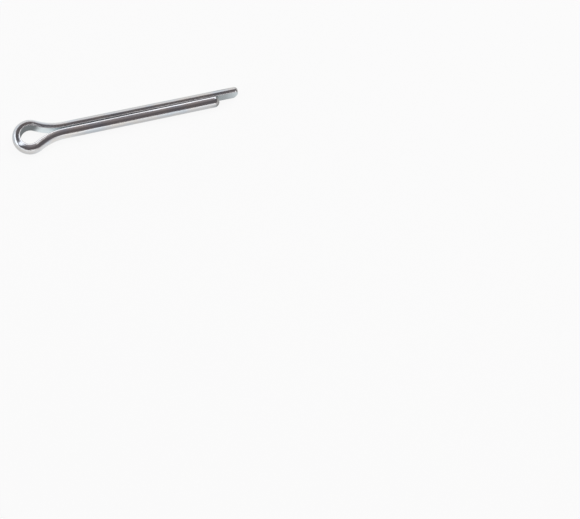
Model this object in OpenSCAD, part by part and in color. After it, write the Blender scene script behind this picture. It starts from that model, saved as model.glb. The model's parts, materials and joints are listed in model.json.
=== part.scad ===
// Extended-prong cotter pin, bent from half-round wire
// -----------------------------------------------------------------------
// One wire section is carried along a plan curve:
//   long prong -> neck bend -> eye -> neck bend -> short prong.
// The section is part of the shank's own circle, cut off on the chord where
// the split runs, so the two prongs together make a round shank.
//
// X runs along the shank to the prong tips, Y across the split and Z through
// the eye.  The origin lies on the shank's axis where the prongs turn
// straight, just under the eye.

/* [Shank] */
// Diameter over both prongs, halfway along
shank_diameter = 3.75;  // [2.5:0.05:6]
// Straight run of the short prong
short_prong_length = 35.25;  // [15:0.1:60]
// How far the long prong stands out past the short one
prong_extension = 4.5;  // [0:0.1:10]

/* [Split] */
// Gap between the prongs where they turn straight
neck_gap = 0.26;  // [0.1:0.02:1]
// Gap between the prongs at the short prong's end
tip_gap = 0.04;  // [0.04:0.02:0.6]

/* [Eye] */
// Inside radius of the eye
eye_radius = 2.2;  // [1.6:0.05:5]
// Radius of the two bends that lead the prongs into the eye
neck_radius = 13.8;  // [6:0.1:30]

/* [Edges] */
// Rounding of the wire's two long edges
edge_radius = 0.10;  // [0.06:0.02:0.4]
// Roll-over round the short prong's sheared end
short_tip_roll = 1.4;  // [0.4:0.05:1.5]
// Roll-over round the long prong's sheared end
long_tip_roll = 0.85;  // [0.4:0.05:1.5]
// Radius of the slight crown on both sheared ends
crown_radius = 4.5;  // [4:0.1:20]
// How far above mid-wire the long prong's end stands out most
long_tip_rise = 0.8;  // [-0.8:0.1:0.8]

/* [Hidden] */
$fn = 48;

// The neck bends are a hair fuller than the pieces at their ends, which run
// on into them, so no two pieces meet on tangent or shared faces
bend_fullness = 0.01;
bend_lap = 0.03;

// Wire section
shank_radius = shank_diameter / 2;
split_offset = (neck_gap + tip_gap) / 4;

// Each prong leans in by half the difference between the two gaps
prong_lean = atan((neck_gap - tip_gap) / 2 / short_prong_length);

// Centre of a neck bend, then the eye's centre, a circle touching that bend
neck_x = neck_radius * sin(prong_lean);
neck_y = neck_gap / 2 + neck_radius * cos(prong_lean);
eye_x = neck_x - sqrt(pow(eye_radius + neck_radius, 2) - pow(neck_y, 2));
neck_angle = atan2(neck_x - eye_x, neck_y);
eye_lap_angle = bend_lap / eye_radius * 180 / PI;

// Share of the edge rounding's radius kept inside each face it runs out on,
// so its arc crosses the faces instead of just touching them
edge_bite = 0.965;
steel = [0.72, 0.73, 0.75];

// Half-round section with the flat on x = 0, the round towards +x and the
// two long edges rounded; extra swells it evenly
module wire_section(extra = 0) {
    radius = shank_radius + extra;
    flat = split_offset - extra;
    corner_x = flat + edge_radius;
    corner_z = sqrt(pow(radius - edge_radius, 2) - pow(corner_x, 2));
    bite = edge_radius * edge_bite;
    translate([-split_offset, 0])
        difference() {
            circle(r = radius);
            translate([flat - shank_diameter, -shank_diameter])
                square([shank_diameter, shank_diameter * 2]);
            for (side = [0, 1])
                mirror([0, side])
                    translate([flat + bite, corner_z])
                        difference() {
                            polygon([
                                [0, 0],
                                [-edge_radius * 2, 0],
                                [-edge_radius * 2, edge_radius * 2],
                                [corner_x, corner_z]
                            ]);
                            circle(r = edge_radius);
                        }
        }
}

// Ring that rolls the rim of a sheared end over, the end at x = 0 and the
// shank's circle centred on the X axis
module rollover_ring(roll) {
    start = roll * edge_bite;
    rotate([0, 90, 0])
        rotate_extrude()
            translate([shank_radius - start, -start])
                difference() {
                    square(roll * 2);
                    circle(r = roll);
                }
}

// What a sheared end's crown leaves off, the crown reaching x = 0 at rise
// above the middle of the wire
module crown_cutter(rise) {
    difference() {
        translate([-shank_radius, -shank_diameter, -shank_diameter])
            cube([shank_diameter, shank_diameter * 2, shank_diameter * 2]);
        translate([-crown_radius, shank_radius / 2, rise])
            rotate([0, 90, 0])
                sphere(r = crown_radius);
    }
}

// Straight prong along +X with its flat on y = 0 and its round towards +Y
module prong(length, roll, rise) {
    difference() {
        translate([-bend_lap, 0, 0])
            rotate([90, 0, 90])
                linear_extrude(height = length + bend_lap)
                    wire_section();
        translate([length, -split_offset, 0]) {
            crown_cutter(rise);
            rollover_ring(roll);
        }
    }
}

// Bend from a prong back to the eye, turning about the neck centre
module neck_bend() {
    translate([neck_x, neck_y, 0])
        rotate([0, 0, 270 - neck_angle])
            rotate_extrude(angle = neck_angle - prong_lean)
                translate([neck_radius, 0])
                    mirror([1, 0])
                        wire_section(bend_fullness);
}

module eye() {
    translate([eye_x, 0, 0])
        rotate([0, 0, 90 - neck_angle - eye_lap_angle])
            rotate_extrude(angle = 180 + 2 * (neck_angle + eye_lap_angle))
                translate([eye_radius, 0])
                    wire_section();
}

// One prong with its neck bend, leaning in towards the shank's axis
module leg(length, roll, rise = 0) {
    translate([0, neck_gap / 2, 0])
        rotate([0, 0, -prong_lean])
            prong(length / cos(prong_lean), roll, rise);
    neck_bend();
}

module cotter_pin() {
    color(steel) {
        leg(short_prong_length + prong_extension, long_tip_roll, long_tip_rise);
        mirror([0, 1, 0])
            leg(short_prong_length, short_tip_roll);
        eye();
    }
}

cotter_pin();
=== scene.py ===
# %% [markdown]
# # A split cotter pin, drawn and folded from one wire
#
# A cotter pin is the smallest safety part in a machine: a length of half-round wire, folded
# flat side to flat side round a small eye.  It is pushed through a cross hole, and its prongs
# are spread so that it can't fall out.  This one has one prong longer than the other, so that
# a finger can find it and start the spread.
#
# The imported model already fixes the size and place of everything, in metres.  This lesson
# loads it first, and takes its own measurements from it.

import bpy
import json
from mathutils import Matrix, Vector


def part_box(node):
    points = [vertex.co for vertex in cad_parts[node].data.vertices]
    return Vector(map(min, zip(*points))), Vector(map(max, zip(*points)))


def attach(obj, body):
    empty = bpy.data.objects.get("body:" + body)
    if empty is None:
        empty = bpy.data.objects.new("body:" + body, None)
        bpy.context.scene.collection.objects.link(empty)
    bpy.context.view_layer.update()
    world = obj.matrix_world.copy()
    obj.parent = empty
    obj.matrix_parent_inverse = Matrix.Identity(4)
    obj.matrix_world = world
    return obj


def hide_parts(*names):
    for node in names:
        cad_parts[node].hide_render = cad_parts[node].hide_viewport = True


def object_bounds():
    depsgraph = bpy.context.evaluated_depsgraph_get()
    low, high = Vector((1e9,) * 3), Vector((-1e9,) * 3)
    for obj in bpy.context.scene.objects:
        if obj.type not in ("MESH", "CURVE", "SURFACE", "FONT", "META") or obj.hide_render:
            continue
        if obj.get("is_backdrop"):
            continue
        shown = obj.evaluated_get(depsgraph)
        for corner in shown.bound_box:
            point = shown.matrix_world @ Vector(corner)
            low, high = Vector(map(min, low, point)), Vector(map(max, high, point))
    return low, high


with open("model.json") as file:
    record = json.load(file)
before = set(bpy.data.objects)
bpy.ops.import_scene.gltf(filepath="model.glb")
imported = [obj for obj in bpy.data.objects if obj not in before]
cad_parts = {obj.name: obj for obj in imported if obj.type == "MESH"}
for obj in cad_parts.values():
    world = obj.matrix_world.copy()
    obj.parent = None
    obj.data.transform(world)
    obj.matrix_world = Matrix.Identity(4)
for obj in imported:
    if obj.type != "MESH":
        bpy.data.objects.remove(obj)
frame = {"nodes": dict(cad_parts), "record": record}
cad_box = [list(corner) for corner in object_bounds()]
print("packed nodes:", sorted(frame["nodes"]))

# %% Bring in Blender and the arithmetic
import json
import math

import bpy
from mathutils import Quaternion, Vector

MM = 0.001
scene = bpy.context.scene
print("Blender", bpy.app.version_string, "works in metres, and a millimetre is", MM)

# %% [markdown]
# ## The camera
#
# The pin lies on a table and is looked down on, a little from the front and from its eye's
# side.  A long lens from well away keeps the two prongs looking as parallel as they are.  The
# camera could track a target, but a place and two angles are easier to read and leave nothing
# to solve.

# %% Aim the camera
low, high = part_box("cotter_pin")
TABLE_HEIGHT = low.z
CAMERA_TILT = math.radians(18.222)      # away from straight down
CAMERA_TURN = math.radians(-12.319)
CAMERA_DISTANCE = 1.49281
CAMERA_AIM = Vector((0.042881, -0.039884, TABLE_HEIGHT))
LENS_LENGTH = 416.82                    # mm
SENSOR_WIDTH = 36                       # mm
SEEN_FROM = 0.1                         # metres from the lens
SEEN_TO = 10

camera_data = bpy.data.cameras.new("camera")
camera_data.lens = LENS_LENGTH
camera_data.sensor_width = SENSOR_WIDTH
camera_data.clip_start = SEEN_FROM
camera_data.clip_end = SEEN_TO
camera = bpy.data.objects.new("camera", camera_data)
camera.rotation_euler = (CAMERA_TILT, 0, CAMERA_TURN)
backwards = camera.rotation_euler.to_matrix() @ Vector((0, 0, 1))
camera.location = CAMERA_AIM + backwards * CAMERA_DISTANCE
scene.collection.objects.link(camera)
scene.camera = camera
print("camera at", [round(c, 3) for c in camera.location])

# %% [markdown]
# ## The driving sizes
#
# Half-round wire is named by the round shank that two of them make.  The shank's radius and
# the eye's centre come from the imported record, and the eye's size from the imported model's
# box.  What is left is what a pin maker would set on the forming machine: the two gaps, the
# bend that leads into the eye, and how the shears leave the ends.

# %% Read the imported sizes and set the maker's own
mounts = {mount["name"]: mount for mount in frame["record"]["mounts"]}
SHANK_RADIUS = mounts["shank"]["dims"]["r_mm"] * MM
EYE_X = mounts["eye"]["pos_m"][0]
LONG_PRONG = high.x                     # its tip, from where the prongs turn straight
SHORT_PRONG = 35.25 * MM
NECK_GAP = 0.26 * MM                    # between the prongs where they turn straight
TIP_GAP = 0.04 * MM                     # between them at the short prong's end
NECK_RADIUS = 13.8 * MM
EDGE_RADIUS = 0.10 * MM                 # of the wire's two long edges
SHORT_TIP_ROLL = 1.4 * MM               # radius of the rolled rim of a sheared end
LONG_TIP_ROLL = 0.85 * MM
CROWN_RADIUS = 4.5 * MM                 # of the crowned face of a sheared end
LONG_TIP_RISE = 0.8 * MM                # from mid-wire up to where the long end stands out most
print("shank diameter, mm:", round(2 * SHANK_RADIUS / MM, 2))

# %% Work out the eye and the neck
# the split cuts the shank's circle this far from its centre
SPLIT_OFFSET = (NECK_GAP + TIP_GAP) / 4
WIRE_DEPTH = SHANK_RADIUS - SPLIT_OFFSET
EYE_RADIUS = high.y - WIRE_DEPTH
PRONG_LEAN = math.atan((NECK_GAP - TIP_GAP) / 2 / SHORT_PRONG)
neck_centre_x = NECK_RADIUS * math.sin(PRONG_LEAN)
neck_centre_y = NECK_GAP / 2 + NECK_RADIUS * math.cos(PRONG_LEAN)
NECK_ANGLE = math.atan2(neck_centre_x - EYE_X, neck_centre_y)
print("eye radius inside, mm:", round(EYE_RADIUS / MM, 3))
print("neck angle, degrees:", round(math.degrees(NECK_ANGLE), 2))

# %% [markdown]
# ## The wire's path
#
# The machine feeds straight wire, bends it over a rounded punch and folds it round a pin.
# The path can be walked the same way: go straight, turn right through the neck, turn left
# round the eye, turn right through the other neck, go straight again.  A drawn curve would
# need handles that someone has to place.  A walker that keeps its place, its heading and how
# much wire it has used needs only a length and a curvature for each stretch, and the stretches
# join smoothly by themselves.  It walks along the flat side of the wire, which is the inside
# of the fold.

# %% Measure the stretches of the path
STRAIGHT_SPACING = 0.5 * MM
NECK_SPACING = 0.25 * MM
EYE_SPACING = 0.14 * MM
TIP_SPACING = 0.08 * MM
TIP_ZONE = 2.2 * MM                     # where the rows start to lean to meet a sheared end
long_run = LONG_PRONG / math.cos(PRONG_LEAN)
short_run = SHORT_PRONG / math.cos(PRONG_LEAN)
neck_run = NECK_RADIUS * (NECK_ANGLE - PRONG_LEAN)
eye_run = EYE_RADIUS * (math.pi + 2 * NECK_ANGLE)

# length, curvature (left is positive) and spacing of the rows, from the long tip on
STRETCHES = [
    (TIP_ZONE, 0, TIP_SPACING),
    (long_run - TIP_ZONE, 0, STRAIGHT_SPACING),
    (neck_run, -1 / NECK_RADIUS, NECK_SPACING),
    (eye_run, 1 / EYE_RADIUS, EYE_SPACING),
    (neck_run, -1 / NECK_RADIUS, NECK_SPACING),
    (short_run - TIP_ZONE, 0, STRAIGHT_SPACING),
    (TIP_ZONE, 0, TIP_SPACING),
]
print("lengths of the stretches, mm:", [round(length / MM, 2) for length, _, _ in STRETCHES])

# %% Walk the flat side of the wire


def advance(place, heading, distance, curvature):
    """Place and heading of the walker after distance, exactly, on a line or on an arc."""
    ahead = Vector((math.cos(heading), math.sin(heading)))
    if curvature == 0:
        return place + ahead * distance, heading
    left = Vector((-ahead.y, ahead.x)) / curvature
    turned = heading + distance * curvature
    new_left = Vector((-math.sin(turned), math.cos(turned))) / curvature
    return place + left - new_left, turned


def walk(place, heading):
    """Stations along the wire: place on the flat, heading and wire used so far."""
    used = 0.0
    stations = [(place, heading, used)]
    for length, curvature, spacing in STRETCHES:
        rows = max(1, round(length / spacing))
        for row in range(1, rows + 1):
            at, turned = advance(place, heading, length * row / rows, curvature)
            stations.append((at, turned, used + length * row / rows))
        place, heading = at, turned
        used += length
    return stations


tip_direction = Vector((math.cos(PRONG_LEAN), -math.sin(PRONG_LEAN)))
long_tip = Vector((0, NECK_GAP / 2)) + tip_direction * long_run
stations = walk(long_tip, math.pi - PRONG_LEAN)
short_tip = stations[-1][0]
WIRE_LENGTH = stations[-1][2]
print("stations:", len(stations), " wire length, mm:", round(WIRE_LENGTH / MM, 2))
print("short prong ends at, mm:", [round(c / MM, 3) for c in short_tip])

# %% [markdown]
# ## The wire's section
#
# The section is a slice of the shank's circle with a flat where the split runs.  The die that
# drew it left its two long edges nearly sharp, with a round of only a tenth of a millimetre.
# That round still catches a hairline of light, so it is built as real arcs.  A bevel
# modifier would round the sheared ends by the same amount, and they are rolled over far more.
# Distances from the flat are called out, and heights above the middle of the wire up.

# %% Draw the half-round section
FLAT_PARTS = 14
EDGE_PARTS = 10
ROUND_PARTS = 48


def arc_points(centre, radius, first, last, parts):
    """Points on an arc, both ends included, from the angle first to the angle last."""
    angles = [first + (last - first) * i / parts for i in range(parts + 1)]
    return [
        (centre[0] + radius * math.cos(a), centre[1] + radius * math.sin(a)) for a in angles
    ]


edge_out = EDGE_RADIUS
edge_up = math.sqrt((SHANK_RADIUS - EDGE_RADIUS) ** 2 - (edge_out + SPLIT_OFFSET) ** 2)
edge_angle = math.atan2(edge_up, edge_out + SPLIT_OFFSET)
flat_side = [
    (0.0, -edge_up + 2 * edge_up * i / FLAT_PARTS) for i in range(1, FLAT_PARTS)
]
upper_edge = arc_points((edge_out, edge_up), EDGE_RADIUS, math.pi, edge_angle, EDGE_PARTS)
round_side = arc_points(
    (-SPLIT_OFFSET, 0), SHANK_RADIUS, edge_angle, -edge_angle, ROUND_PARTS
)
lower_edge = arc_points((edge_out, -edge_up), EDGE_RADIUS, -edge_angle, -math.pi, EDGE_PARTS)
section = flat_side + upper_edge + round_side[1:-1] + lower_edge
RING = len(section)
print("points round the section:", RING)

# %% [markdown]
# ## The sheared ends
#
# The shears roll the outer rim of each end over and leave its face slightly crowned.  Both
# are simple to write as a depth below the end, for any point of the section: a ball's surface
# for the crown, a quarter round for the rim, and the deeper of the two wins.  A boolean cut
# would give the same shape, but with long thin faces that shade badly.  Here the wire's last
# rows lean to meet the end, and the cap closes over it in rings.

# %% Measure how far an end drops at a point of the section
CROWN_OUT = SHANK_RADIUS / 2 - SPLIT_OFFSET     # the crown's highest place, out from the flat
ROLL_SHARE = 0.965                              # of the roll's radius, kept inside the face
FACE_EDGE = 0.12 * MM                           # round where the face meets the flat
SOFTENING = 0.03 * MM                           # how softly the rim runs into the crown


def end_drop(out, up, roll, rise):
    """Depth of a sheared end below its highest place, at out from the flat and up."""
    crown = CROWN_RADIUS - math.sqrt(
        CROWN_RADIUS**2 - (out - CROWN_OUT) ** 2 - (up - rise) ** 2
    )
    inset = roll * ROLL_SHARE
    beyond = max(0.0, math.hypot(out + SPLIT_OFFSET, up) - (SHANK_RADIUS - inset))
    rim = inset - math.sqrt(max(0.0, roll**2 - beyond**2))
    near = max(0.0, FACE_EDGE - out)
    edge = FACE_EDGE - math.sqrt(FACE_EDGE**2 - near**2)
    apart = math.hypot(rim - crown, SOFTENING)
    return (rim + crown + apart) / 2 + edge


print("rim drop, mm:", round(end_drop(WIRE_DEPTH, 0, LONG_TIP_ROLL, LONG_TIP_RISE) / MM, 3))

# %% [markdown]
# ## One closed mesh
#
# The rings of section points are placed at the stations and joined into quads, and each end
# is capped with shrinking rings.  A curve with a bevel object would sweep the section in one
# step, but it can't lean its last rows or keep a record of where each point came from.  That
# record matters: the lines that the drawing die leaves run along the wire and round the eye.
# So every point also remembers its place in the straight wire, before it was bent.

# %% Place points along the wire
points = []
straight_places = []
sheared_shares = []


def add_point(station, out, up, along=0.0, sheared=0.0):
    """Adds a point of the section at a station, moved along the wire by along."""
    place, heading, used = station
    ahead = Vector((math.cos(heading), math.sin(heading)))
    outward = Vector((ahead.y, -ahead.x))
    at = place + ahead * along + outward * out
    points.append((at.x, at.y, up))
    straight_places.append(((used + along) / MM, out / MM, up / MM))
    sheared_shares.append(sheared)


def give_way(drop, from_tip):
    """How far a row near a tip gives way for the end's drop, fading into the prong."""
    share = max(0.0, 1 - from_tip / TIP_ZONE)
    return drop * share


for station in stations:
    used = station[2]
    for out, up in section:
        from_long = give_way(end_drop(out, up, LONG_TIP_ROLL, LONG_TIP_RISE), used)
        from_short = give_way(end_drop(out, up, SHORT_TIP_ROLL, 0), WIRE_LENGTH - used)
        add_point(station, out, up, from_long - from_short)
print("points along the wire:", len(points))

# %% [markdown]
# One flat face of many corners could close each end, but the crown would be lost.  Rings that
# shrink towards a point near the middle of the half round follow the crown and the rolled rim,
# and are closest together where the rim turns hardest.  Both ends use the same function.  Only
# the order of the corners differs, so that every face looks outwards.

# %% Join the rings and cap both ends
CAP_SHARES = [0.99, 0.975, 0.955, 0.93, 0.9, 0.86, 0.81, 0.74, 0.64, 0.5, 0.32, 0.14]
CAP_CENTRE = (WIRE_DEPTH * 0.45, 0.0)
SKIN_EDGE = 0.2                         # how far in, as a share, plating gives way to torn skin
faces = []


def join_rings(first, second):
    """Quads between two rings of points, given by their first point's number."""
    for i in range(RING):
        j = (i + 1) % RING
        faces.append((first + i, first + j, second + j, second + i))


def cap(station, first, roll, rise, sign):
    """Closes an end over the ring that starts at first; sign is +1 at the long tip."""
    ring = first
    for share in CAP_SHARES:
        new_ring = len(points)
        sheared = min(1.0, (1 - share) / SKIN_EDGE)
        for out, up in section:
            out = CAP_CENTRE[0] + (out - CAP_CENTRE[0]) * share
            up = up * share
            add_point(station, out, up, sign * end_drop(out, up, roll, rise), sheared)
        join_rings(*((new_ring, ring) if sign > 0 else (ring, new_ring)))
        ring = new_ring
    middle = len(points)
    add_point(station, *CAP_CENTRE, sign * end_drop(*CAP_CENTRE, roll, rise), 1.0)
    for i in range(RING):
        pair = (ring + i, ring + (i + 1) % RING)
        faces.append((middle, *reversed(pair)) if sign > 0 else (middle, *pair))


for row in range(len(stations) - 1):
    join_rings(row * RING, (row + 1) * RING)
cap(stations[0], 0, LONG_TIP_ROLL, LONG_TIP_RISE, 1)
cap(stations[-1], (len(stations) - 1) * RING, SHORT_TIP_ROLL, 0, -1)
print("faces:", len(faces))

# %% [markdown]
# The lists become a Blender mesh in one call.  The remembered places go with it as
# attributes, which a material can read.  Then the imported node is hidden, and the wire takes
# its place and rides on the body that the node belongs to.

# %% Make the wire
mesh = bpy.data.meshes.new("folded_wire")
mesh.from_pydata(points, [], faces)
mesh.validate()
mesh.shade_smooth()
places = mesh.attributes.new("straight_place", "FLOAT_VECTOR", "POINT")
places.data.foreach_set("vector", [c for place in straight_places for c in place])
sheared = mesh.attributes.new("sheared", "FLOAT", "POINT")
sheared.data.foreach_set("value", sheared_shares)
wire = bpy.data.objects.new("folded_wire", mesh)
scene.collection.objects.link(wire)
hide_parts("cotter_pin")
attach(wire, "root")
print("wire vertices:", len(mesh.vertices))

# %% [markdown]
# ## Helpers for node trees
#
# A material here is a small calculation: places on the wire go in, and colour, roughness and
# height come out.  Four helpers keep it readable as one.  The nodes could be wired by hand in
# the editor, but then the numbers that make the finish would be hard to find again.

# %% Add, calculate, step and blend
# a Mix node's colour sockets have the names of its number sockets, so they go by number
BLEND_FIRST = 6
BLEND_SECOND = 7
BLEND_RESULT = 2


def add_node(tree, kind, inputs=None, **settings):
    """Adds a node; inputs gives each input, by name, a value or another node's output."""
    made = tree.nodes.new(kind)
    for name, value in settings.items():
        setattr(made, name, value)
    for name, value in (inputs or {}).items():
        if isinstance(value, bpy.types.NodeSocket):
            tree.links.new(value, made.inputs[name])
        else:
            made.inputs[name].default_value = value
    return made


def calculate(tree, operation, *values):
    """A Math node's result."""
    made = add_node(tree, "ShaderNodeMath", dict(enumerate(values)), operation=operation)
    return made.outputs["Value"]


def step(tree, value, start, end, at_start=0.0, at_end=1.0):
    """Goes smoothly from at_start to at_end while value goes from start to end."""
    inputs = {"Value": value, "From Min": start, "From Max": end}
    inputs["To Min"] = at_start
    inputs["To Max"] = at_end
    made = add_node(tree, "ShaderNodeMapRange", inputs, interpolation_type="SMOOTHSTEP")
    return made.outputs["Result"]


def blend(tree, share, first, second):
    """A colour that goes from first to second with share."""
    inputs = {"Factor": share, BLEND_FIRST: first, BLEND_SECOND: second}
    return add_node(tree, "ShaderNodeMix", inputs, data_type="RGBA").outputs[BLEND_RESULT]


print("helpers:", [helper.__name__ for helper in (add_node, calculate, step, blend)])

# %% [markdown]
# ## The finish: bright zinc
#
# Cotter pins are tumbled and zinc plated after they are formed, a few thousandths of a
# millimetre thick, and then dipped in a clear chromate that leaves a faint cool or warm film.
# Plating that thin hides nothing: it keeps the lines of the drawing die, the orange peel where
# the eye stretched the wire, and the shears' marks on the ends.  So the material first asks
# where on the straight wire a point was, and then what happened to it there.
#
# The questions could be answered by painted masks, but a pin has no seam to unwrap along, and
# the place in the straight wire is exact.

# %% Start the plating
plating = bpy.data.materials.new("bright_zinc")
plating.use_nodes = True
plating_tree = plating.node_tree
mesh.materials.append(plating)
shader = plating_tree.nodes["Principled BSDF"]
shader.inputs["Metallic"].default_value = 1
straight = add_node(plating_tree, "ShaderNodeAttribute", attribute_name="straight_place")
position = straight.outputs["Vector"]
wire_axes = add_node(plating_tree, "ShaderNodeSeparateXYZ", {"Vector": position})
used_mm = wire_axes.outputs["X"]
out_mm = wire_axes.outputs["Y"]
up_mm = wire_axes.outputs["Z"]
print("the plating reads", straight.attribute_name, "in millimetres")

# %% Say where the wire was stretched
BEND_START = (long_run + neck_run) / MM
BEND_END = BEND_START + eye_run / MM
OUTSIDE_BEND = 2                        # mm of wire outside the bend that still stretch a little
INSIDE_BEND = 1                         # mm into the bend until the stretch is full
OUTER_SIDE = (0.3, 1.5)                 # mm out from the flat, over which the stretch grows
into_bend = step(
    plating_tree, used_mm, BEND_START - OUTSIDE_BEND, BEND_START + INSIDE_BEND
)
out_of_bend = step(
    plating_tree, used_mm, BEND_END - INSIDE_BEND, BEND_END + OUTSIDE_BEND, 1.0, 0.0
)
outer_side = step(plating_tree, out_mm, *OUTER_SIDE)
in_bend = calculate(plating_tree, "MULTIPLY", into_bend, out_of_bend)
stretched = calculate(plating_tree, "MULTIPLY", in_bend, outer_side)
print("the eye's bend runs from", round(BEND_START, 1), "to", round(BEND_END, 1), "mm")

# %% Say where it was rubbed and cut
FLAT_FADES = (0.01, 0.12)               # mm out from the flat
EDGE_UP = (1.55, 1.80)                  # mm up or down from mid-wire, where a long edge begins
EDGE_OUT = (0.05, 0.30)                 # mm out from the flat, where it ends
on_flat = step(plating_tree, out_mm, *FLAT_FADES, 1.0, 0.0)
from_middle = calculate(plating_tree, "ABSOLUTE", up_mm)
high_up = step(plating_tree, from_middle, *EDGE_UP)
near_split = step(plating_tree, out_mm, *EDGE_OUT, 1.0, 0.0)
rubbed = calculate(plating_tree, "MULTIPLY", high_up, near_split)
shear_reader = add_node(plating_tree, "ShaderNodeAttribute", attribute_name="sheared")
cut = shear_reader.outputs["Fac"]
print("points on torn skin:", sum(share == 1.0 for share in sheared_shares))

# %% [markdown]
# Drawing lines are the same noise as everything else, only squeezed: a fraction of a cell per
# millimetre along the wire, and several across it.  A wave texture would draw even stripes,
# and a worn die leaves lines that start and stop.  The scales below are cells per millimetre
# along, out and up.  The orange peel has the same scale every way, and the shears' marks don't
# change along the wire at all.

# %% Make the grain


def grain(scale, detail):
    """Noise about 0.5 that stays with the wire, with scale cells per mm each way."""
    scaled = add_node(
        plating_tree, "ShaderNodeVectorMath", {0: position, 1: scale}, operation="MULTIPLY"
    )
    inputs = {"Vector": scaled.outputs["Vector"], "Scale": 1.0, "Detail": detail}
    return add_node(plating_tree, "ShaderNodeTexNoise", inputs).outputs["Fac"]


FINE_LINE_SCALE = (0.10, 7.0, 7.0)
fine_lines = grain(FINE_LINE_SCALE, detail=3.0)
wide_lines = grain((0.04, 2.3, 2.3), detail=2.0)
waves = grain((0.16, 0.5, 0.5), detail=1.0)
peel = grain((3.2, 3.2, 3.2), detail=2.0)
clouds = grain((0.28, 0.55, 0.55), detail=3.0)
shear_marks = grain((0.0, 0.5, 6.0), detail=2.0)
line_length, line_width = (1 / cells for cells in FINE_LINE_SCALE[:2])
print("fine lines, mm long and wide:", round(line_length, 2), round(line_width, 2))

# %% [markdown]
# Every mark is given its real height, in millimetres, and one Bump node with a distance of a
# millimetre turns the sum into slopes.  A few thousandths are enough: on a metal this bright,
# a slope of one degree moves a reflection by two.  Real dents in the mesh would need millions
# of faces to be this fine.

# %% Raise the marks
in_peel = calculate(plating_tree, "MULTIPLY", peel, stretched)
in_shear = calculate(plating_tree, "MULTIPLY", shear_marks, cut)

# each mark and its full height in mm
MARKS = [
    (fine_lines, 0.007),
    (wide_lines, 0.02),
    (waves, 0.05),
    (in_peel, 0.024),
    (in_shear, 0.03),
]
height = 0.0
for mark, full_height in MARKS:
    height = calculate(plating_tree, "MULTIPLY_ADD", mark, full_height, height)
bump_inputs = {"Height": height, "Distance": MM, "Strength": 1.0}
bumps = add_node(plating_tree, "ShaderNodeBump", bump_inputs)
plating_tree.links.new(bumps.outputs["Normal"], shader.inputs["Normal"])
print("kinds of mark:", len(MARKS))

# %% [markdown]
# The plating is glossiest where pins rub on each other in the tumbler, along the two long
# edges.  It is a little duller on the flat, which the bath reaches last, over the stretched
# back of the eye, and most of all on the sheared ends.  One even gloss would be simpler, but it
# would look like chrome, which is buffed all over.

# %% Set how dull each place is
PLAIN_DULLNESS = 0.07

# what is there, and how much duller it makes the plating
DULLER_BY = [
    (clouds, 0.16),
    (fine_lines, 0.06),
    (on_flat, 0.08),
    (stretched, 0.04),
    (rubbed, -0.03),
    (cut, 0.18),
]
dull = PLAIN_DULLNESS
for place_share, amount in DULLER_BY:
    dull = calculate(plating_tree, "MULTIPLY_ADD", place_share, amount, dull)
plating_tree.links.new(dull, shader.inputs["Roughness"])
dullest = PLAIN_DULLNESS + sum(max(0, amount) for _, amount in DULLER_BY)
print("roughness runs from about", PLAIN_DULLNESS, "to at most", round(dullest, 2))

# %% [markdown]
# The chromate film drifts between faintly cool and faintly warm over a few millimetres.  It is
# coolest and cleanest on the flat, which nothing rubs in the tumbler.  The rubbed edges show
# plain bright zinc, and the ends a darker skin, where the shears tore the steel and the
# plating took unevenly.  The shader has a thin-film setting of its own, but that gives rainbow
# bands, and this film is only a hint of colour.

# %% Tint the film
COOL_FILM = (0.600, 0.640, 0.685, 1)
PLAIN_FILM = (0.650, 0.655, 0.668, 1)
WARM_FILM = (0.680, 0.662, 0.645, 1)
FLAT_FILM = (0.645, 0.720, 0.750, 1)
RUBBED_ZINC = (0.720, 0.722, 0.725, 1)
SHEARED_SKIN = (0.500, 0.490, 0.480, 1)
COOL_CLOUDS = (0.36, 0.50)
WARM_CLOUDS = (0.50, 0.64)
FLAT_SHARE = 0.85                       # of the flat's own film, over the drifting one
cool = step(plating_tree, clouds, *COOL_CLOUDS, 1.0, 0.0)
warm = step(plating_tree, clouds, *WARM_CLOUDS)
cleaner = calculate(plating_tree, "MULTIPLY", on_flat, FLAT_SHARE)
film = blend(plating_tree, cool, PLAIN_FILM, COOL_FILM)
film = blend(plating_tree, warm, film, WARM_FILM)
film = blend(plating_tree, cleaner, film, FLAT_FILM)
film = blend(plating_tree, rubbed, film, RUBBED_ZINC)
film = blend(plating_tree, cut, film, SHEARED_SKIN)
plating_tree.links.new(film, shader.inputs["Base Color"])
print("plating nodes:", len(plating_tree.nodes))

# %% [markdown]
# ## The table
#
# The pin lies on a large sheet of white paper.  A curved backdrop would hide the horizon, but
# a camera that looks down through a long lens never sees one, so four corners are enough.

# %% Lay the sheet of paper
FLOOR_HALF = 2
corners = [
    (-FLOOR_HALF, -FLOOR_HALF, TABLE_HEIGHT),
    (FLOOR_HALF, -FLOOR_HALF, TABLE_HEIGHT),
    (FLOOR_HALF, FLOOR_HALF, TABLE_HEIGHT),
    (-FLOOR_HALF, FLOOR_HALF, TABLE_HEIGHT),
]
floor_mesh = bpy.data.meshes.new("floor")
floor_mesh.from_pydata(corners, [], [(0, 1, 2, 3)])
floor = bpy.data.objects.new("floor", floor_mesh)
scene.collection.objects.link(floor)
floor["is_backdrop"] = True
print("the paper lies this far below the pin's axis, mm:", round(-TABLE_HEIGHT / MM, 3))
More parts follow.
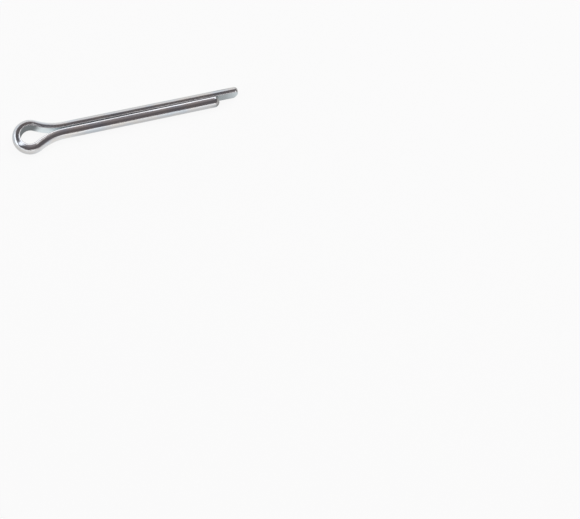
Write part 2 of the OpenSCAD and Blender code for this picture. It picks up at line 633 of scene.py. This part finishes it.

# %% [markdown]
# The paper treats its visitors differently.  The camera sees a clean white with the pin's soft
# shadow left in it.  The metal sees a brightness painted on the sheet by place instead: nearly
# the same white far out, and three quarters of it beside the shank, a painted shade for a shank
# which stands in its own light.  It sees painted full white beside the throat, where the eye
# opens into the split, and painted shade of half in the corner where the short prong ends and
# of a quarter inside the eye.  To the right the painted light fades, as the sheet runs out of
# the light.
#
# A brighter lamp would also whiten the paper, but it would burn out the plating first.  The
# lamps' own light on the paper would give the dark places too, only fainter than they look
# on a real bench, where the paper is not alone in being shaded.

# %% Read places on the paper
paper = bpy.data.materials.new("white_paper")
paper.use_nodes = True
floor_mesh.materials.append(paper)
paper_tree = paper.node_tree
paper_tree.nodes.clear()
spot = add_node(paper_tree, "ShaderNodeTexCoord").outputs["Object"]
spot_axes = add_node(paper_tree, "ShaderNodeSeparateXYZ", {"Vector": spot})
spot_x = spot_axes.outputs["X"]
spot_y = spot_axes.outputs["Y"]
print("the paper reads its places from:", spot.name)

# %% Paint shade on the strip beside the pin
# a place along the pin in mm, and how bright the metal sees the paper beside it, painted in as
# light and shade
PAINTED_SHADE_BESIDE_PIN = [
    (-8.0, 0.8),
    (-5.8, 1.0),
    (0.0, 1.0),
    (4.0, 0.75),
    (33.0, 0.75),
    (35.5, 0.45),
    (37.0, 0.5),
    (39.5, 0.8),
]
pin_reach = {"Value": spot_x, "From Min": low.x, "From Max": high.x}
along_pin = add_node(paper_tree, "ShaderNodeMapRange", pin_reach).outputs["Result"]
ramp = add_node(paper_tree, "ShaderNodeValToRGB", {"Fac": along_pin})
stops = ramp.color_ramp.elements
while len(stops) < len(PAINTED_SHADE_BESIDE_PIN):
    stops.new(0.5)
for stop, (x_mm, level) in zip(stops, PAINTED_SHADE_BESIDE_PIN):
    stop.position = (x_mm * MM - low.x) / (high.x - low.x)
    stop.color = (level, level, level, 1)
painted_shade_beside_pin = ramp.outputs["Color"]
print("stops along the pin:", [round(stop.position, 3) for stop in stops])

# %% Let the painted strip run out into the sheet
FAR_GLOW = 0.97
# painted shade: to the right the metal sees the sheet run out of the light
PAINTED_SHADE_TO_RIGHT = 0.5
RIGHT_REACH = 20 * MM                   # past the long tip, until the light has run out
STRIP_UNTIL = 3 * MM                    # from the pin's axis
SHEET_FROM = 14 * MM
painted_far_light = step(paper_tree, spot_x, high.x, high.x + RIGHT_REACH, FAR_GLOW, PAINTED_SHADE_TO_RIGHT)
from_axis = calculate(paper_tree, "ABSOLUTE", spot_y)
painted_sheet_light = step(paper_tree, from_axis, STRIP_UNTIL, SHEET_FROM, painted_shade_beside_pin, painted_far_light)
print("the sheet fades, mm wide:", round((SHEET_FROM - STRIP_UNTIL) / MM, 1))

# %% Paint shade on the paper inside the eye
# painted shade inside the eye and painted light beside the throat, seen only by the metal
PAINTED_EYE_SHADE = 0.24
PAINTED_THROAT_LIGHT = 1.0
DARK_UNTIL = EYE_X + 0.6 * MM
THROAT_FROM = EYE_X + EYE_RADIUS
EYE_REACH = (EYE_RADIUS * 1.3, EYE_RADIUS * 1.8)
eye_points = {0: spot, 1: (EYE_X, 0.0, 0.0)}
to_eye = add_node(paper_tree, "ShaderNodeVectorMath", eye_points, operation="DISTANCE")
eye_distance = to_eye.outputs["Value"]
painted_eye_shade = step(paper_tree, spot_x, DARK_UNTIL, THROAT_FROM, PAINTED_EYE_SHADE, PAINTED_THROAT_LIGHT)
painted_light_and_shade = step(paper_tree, eye_distance, *EYE_REACH, painted_eye_shade, painted_sheet_light)
print("the eye's shade reaches, mm:", [round(reach / MM, 2) for reach in EYE_REACH])

# %% Show each visitor its paper
WHITE_TO_CAMERA = 0.9                   # the rest is lit paper, which takes the pin's shadow
ray = add_node(paper_tree, "ShaderNodeLightPath")
by_camera = ray.outputs["Is Camera Ray"]
glossy_ray = ray.outputs["Is Glossy Ray"]
transmission_ray = ray.outputs["Is Transmission Ray"]
by_metal = calculate(paper_tree, "MAXIMUM", glossy_ray, transmission_ray)
# the metal sees only the glowing sheet, whose strength is the painted light and shade; the
# camera sees white
clean_share = calculate(paper_tree, "MULTIPLY_ADD", by_camera, WHITE_TO_CAMERA, by_metal)
strength = calculate(paper_tree, "MAXIMUM", by_camera, painted_light_and_shade)
lit = add_node(paper_tree, "ShaderNodeBsdfDiffuse", {"Color": (1, 1, 1, 1)})
clean = add_node(paper_tree, "ShaderNodeEmission", {"Strength": strength})
layers = {0: clean_share, 1: lit.outputs["BSDF"], 2: clean.outputs["Emission"]}
sheet = add_node(paper_tree, "ShaderNodeMixShader", layers)
add_node(paper_tree, "ShaderNodeOutputMaterial", {"Surface": sheet.outputs["Shader"]})
print("paper nodes:", len(paper_tree.nodes))

# %% [markdown]
# ## The light
#
# Bright metal shows only what stands round it, so the lamps are chosen by their reflections.
# A round bar looked down on mirrors twice the slope of its side.  The thin bright line beside
# the split is the crest of the near prong, and it needs a lamp straight overhead and a little
# behind.  The dark bands are the open room in front and behind.  The lower sides mirror a low
# pale wall and the table.
#
# The eye turns through every direction, so it shows the left side of the room as well.  A long
# strip leads from the overhead lamp down to the left and a little to the front.  It draws the
# streak that crosses the wire from the outside of the eye to its inside.  A low box behind it
# edges the eye with white, and the open room between the two leaves the dark ring.  Glowing
# panels built as meshes would look the same, but area lamps give less grain.

# %% Hang the soft boxes
WHITE_LAMP = (1.0, 1.0, 1.0)
COOL_LAMP = (0.98, 1.0, 1.04)
WATTS_OF_WHITE = math.pi                # per square metre, for a panel as bright as white


def soft_box(name, place, aim, width, height, level, colour=WHITE_LAMP, turn=0):
    """A lamp seen as an even panel of brightness level, 1 being white, turned in its plane."""
    lamp_data = bpy.data.lights.new(name, "AREA")
    lamp_data.shape = "RECTANGLE"
    lamp_data.size = width
    lamp_data.size_y = height
    lamp_data.energy = level * WATTS_OF_WHITE * width * height
    lamp_data.color = colour
    lamp = bpy.data.objects.new(name, lamp_data)
    lamp.location = place
    lamp.rotation_mode = "QUATERNION"
    aimed = (Vector(aim) - Vector(place)).to_track_quat("-Z", "Y")
    lamp.rotation_quaternion = aimed @ Quaternion((0, 0, 1), math.radians(turn))
    scene.collection.objects.link(lamp)
    print(name, "energy:", round(lamp_data.energy, 2))


soft_box(
    "overhead_box", place=(-0.05, 0.15, 0.7), aim=(-0.05, 0.15, 0),
    width=0.5, height=0.32, level=1.4, colour=COOL_LAMP,
)
soft_box(
    "left_strip", place=(-0.8, -0.18, 0.7), aim=(-0.8, -0.18, 0),
    width=1.1, height=0.24, level=1.5, colour=COOL_LAMP, turn=18,
)
soft_box(
    "right_box", place=(0.75, 0.28, 0.7), aim=(0.75, 0.28, 0),
    width=1.1, height=0.96, level=1.5,
)
soft_box(
    "left_box", place=(-0.7, 0.2, 0.13), aim=(0, 0.2, 0.13),
    width=0.7, height=0.26, level=1.2,
)

# %% [markdown]
# The room itself is a warm dark grey.  Low down it has a pale wall all round, except to the
# right: lower and brighter in front, higher and duller behind.  A little in front of the
# zenith the room lightens, as a ceiling does beside a lamp.  A measured image of a real room
# would do the same work, but these few steps say why it does.

# %% Look round the room
world = bpy.data.worlds.new("studio")
scene.world = world
world.use_nodes = True
room_tree = world.node_tree
looking = add_node(room_tree, "ShaderNodeTexCoord").outputs["Generated"]
looking_axes = add_node(room_tree, "ShaderNodeSeparateXYZ", {"Vector": looking})
towards_right = looking_axes.outputs["X"]
towards_back = looking_axes.outputs["Y"]
towards_up = looking_axes.outputs["Z"]
print("the room reads its directions from:", looking.name)

# %% Raise the pale wall
# directions have length 1, so a height of 0.5 is 30 degrees up; pairs run from front to back
WALL_LEVEL = (1.4, 0.8)
WALL_FULL_UP_TO = (0.10, 0.14)
WALL_ENDS_AT = (0.25, 0.30)
LEVEL_TURNS = (-0.3, 0.5)
HEIGHT_TURNS = (-0.3, 0.3)
ENDS_TO_RIGHT = (0.1, 0.65)
wall_level = step(room_tree, towards_back, *LEVEL_TURNS, *WALL_LEVEL)
wall_foot = step(room_tree, towards_back, *HEIGHT_TURNS, *WALL_FULL_UP_TO)
wall_top = step(room_tree, towards_back, *HEIGHT_TURNS, *WALL_ENDS_AT)
wall_height = step(room_tree, towards_up, wall_foot, wall_top, 1.0, 0.0)
wall_width = step(room_tree, towards_right, *ENDS_TO_RIGHT, 1.0, 0.0)
wall_extent = calculate(room_tree, "MULTIPLY", wall_height, wall_width)
wall = calculate(room_tree, "MULTIPLY", wall_level, wall_extent)
wall_degrees = [round(math.degrees(math.asin(height_up)), 1) for height_up in WALL_ENDS_AT]
print("the wall ends at, degrees up in front and behind:", wall_degrees)

# %% Grey the room and lighten its ceiling
ROOM_LEVEL = 0.13
CEILING_LEVEL = 0.26
CEILING_AT = (0.0, -0.2, 0.98)
CEILING_SPREAD = (0.86, 1.0)            # cosines of the angle from its middle
ROOM_COLOUR = (1.13, 1.0, 1.03, 1)
WALL_COLOUR = (1.0, 1.0, 1.0, 1)
both_directions = {0: looking, 1: CEILING_AT}
to_ceiling = add_node(
    room_tree, "ShaderNodeVectorMath", both_directions, operation="DOT_PRODUCT"
)
ceiling_nearness = to_ceiling.outputs["Value"]
ceiling = step(room_tree, ceiling_nearness, *CEILING_SPREAD, ROOM_LEVEL, CEILING_LEVEL)
room_colour = blend(room_tree, wall, ROOM_COLOUR, WALL_COLOUR)
room_strength = calculate(room_tree, "ADD", wall, ceiling)
background = room_tree.nodes["Background"]
room_tree.links.new(room_colour, background.inputs["Color"])
room_tree.links.new(room_strength, background.inputs["Strength"])
scene.view_settings.view_transform = "Standard"
print("room nodes:", len(room_tree.nodes))

# %% [markdown]
# ## The sizes
#
# The outer box of the visual model is measured again, and kept beside the imported model's
# box.  The two may differ by a few hundredths of a millimetre at most.

# %% Measure the sizes again and finish
visual_box = [list(corner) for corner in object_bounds()]
for seen_corner, cad_corner in zip(visual_box, cad_box):
    difference = [round((seen - cad) / MM, 3) for seen, cad in zip(seen_corner, cad_corner)]
    print("box difference, mm:", difference)
